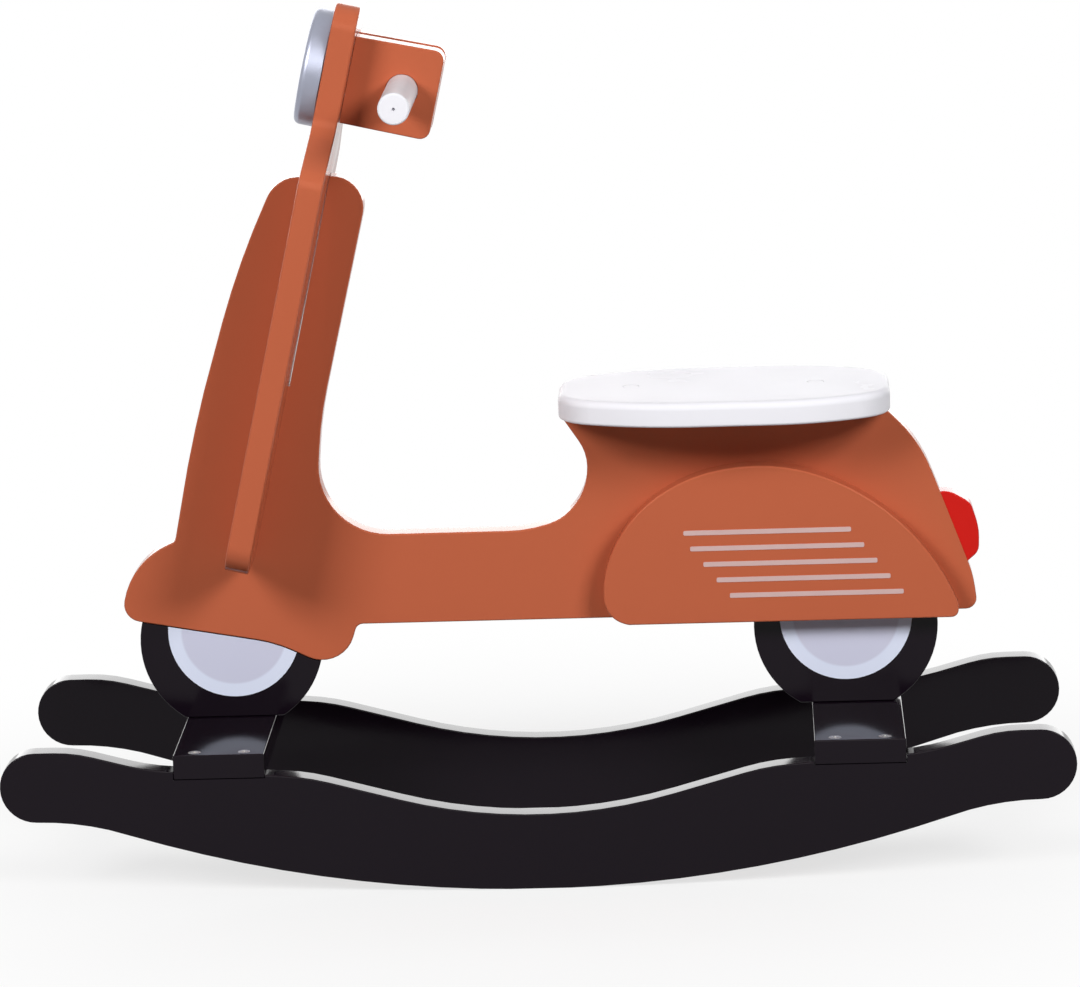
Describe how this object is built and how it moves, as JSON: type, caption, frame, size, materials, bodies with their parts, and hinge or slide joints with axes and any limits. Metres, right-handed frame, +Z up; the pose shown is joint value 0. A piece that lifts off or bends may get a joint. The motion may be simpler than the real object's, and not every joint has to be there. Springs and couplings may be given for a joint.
{
  "type": "rocking scooter",
  "caption": "Child's rocking scooter cut from painted boards: scooter-shaped centre board with leg shield, round grip bar, seat and cowls, standing on two curved rockers.",
  "frame": {"origin": "on the floor, midway between the rockers and midway along their length", "axes": "+Z up, -X forwards to the headlight, +Y across the rockers; the rockers, cowls and cheeks named left are on the rider's left, the -Y side"},
  "size_m": [0.7808, 0.244, 0.6389],
  "materials": {
    "terracotta_paint": "satin terracotta paint on board",
    "black_paint": "satin black paint on board",
    "white_gloss_paint": "gloss white paint",
    "white_cap": "gloss white plastic",
    "silver_paint": "metallic silver paint",
    "red_paint": "gloss red paint",
    "hub_film": "printed film, pale grey",
    "stripe_film": "printed film, pale grey",
    "dowel_wood": "bare beech",
    "screw_steel": "zinc-plated steel"
  },
  "bodies": {
    "root": {"centre_board": "terracotta_paint", "cowl_dowel_1": "dowel_wood", "cowl_dowel_2": "dowel_wood", "front_crossboard": "black_paint", "front_hub_left": "hub_film", "front_hub_right": "hub_film", "front_wheel": "black_paint", "front_wheel_dowel_1": "dowel_wood", "front_wheel_dowel_2": "dowel_wood", "front_wheel_screw_1": "screw_steel", "front_wheel_screw_2": "screw_steel", "handlebar_dowel": "white_gloss_paint", "headlight_disc": "silver_paint", "headlight_dowel": "dowel_wood", "left_cheek_screw_1": "screw_steel", "left_cheek_screw_2": "screw_steel", "left_cowl": "terracotta_paint", "left_cowl_stripe_1": "stripe_film", "left_cowl_stripe_2": "stripe_film", "left_cowl_stripe_3": "stripe_film", "left_cowl_stripe_4": "stripe_film", "left_cowl_stripe_5": "stripe_film", "left_handlebar_cheek": "terracotta_paint", "left_rocker": "black_paint", "left_rocker_screw_1": "screw_steel", "left_rocker_screw_2": "screw_steel", "left_rocker_screw_3": "screw_steel", "left_rocker_screw_4": "screw_steel", "leg_shield": "terracotta_paint", "rear_crossboard": "black_paint", "rear_hub_left": "hub_film", "rear_hub_right": "hub_film", "rear_wheel": "black_paint", "rear_wheel_dowel_1": "dowel_wood", "rear_wheel_dowel_2": "dowel_wood", "rear_wheel_screw_1": "screw_steel", "rear_wheel_screw_2": "screw_steel", "right_cheek_screw_1": "screw_steel", "right_cheek_screw_2": "screw_steel", "right_cowl": "terracotta_paint", "right_cowl_stripe_1": "stripe_film", "right_cowl_stripe_2": "stripe_film", "right_cowl_stripe_3": "stripe_film", "right_cowl_stripe_4": "stripe_film", "right_cowl_stripe_5": "stripe_film", "right_handlebar_cheek": "terracotta_paint", "right_rocker": "black_paint", "right_rocker_screw_1": "screw_steel", "right_rocker_screw_2": "screw_steel", "right_rocker_screw_3": "screw_steel", "right_rocker_screw_4": "screw_steel", "seat": "white_gloss_paint", "seat_cap_1": "white_cap", "seat_cap_2": "white_cap", "seat_screw_1": "screw_steel", "seat_screw_2": "screw_steel", "tail_light": "red_paint", "tail_light_dowel_1": "dowel_wood", "tail_light_dowel_2": "dowel_wood"}
  },
  "joints": []
}
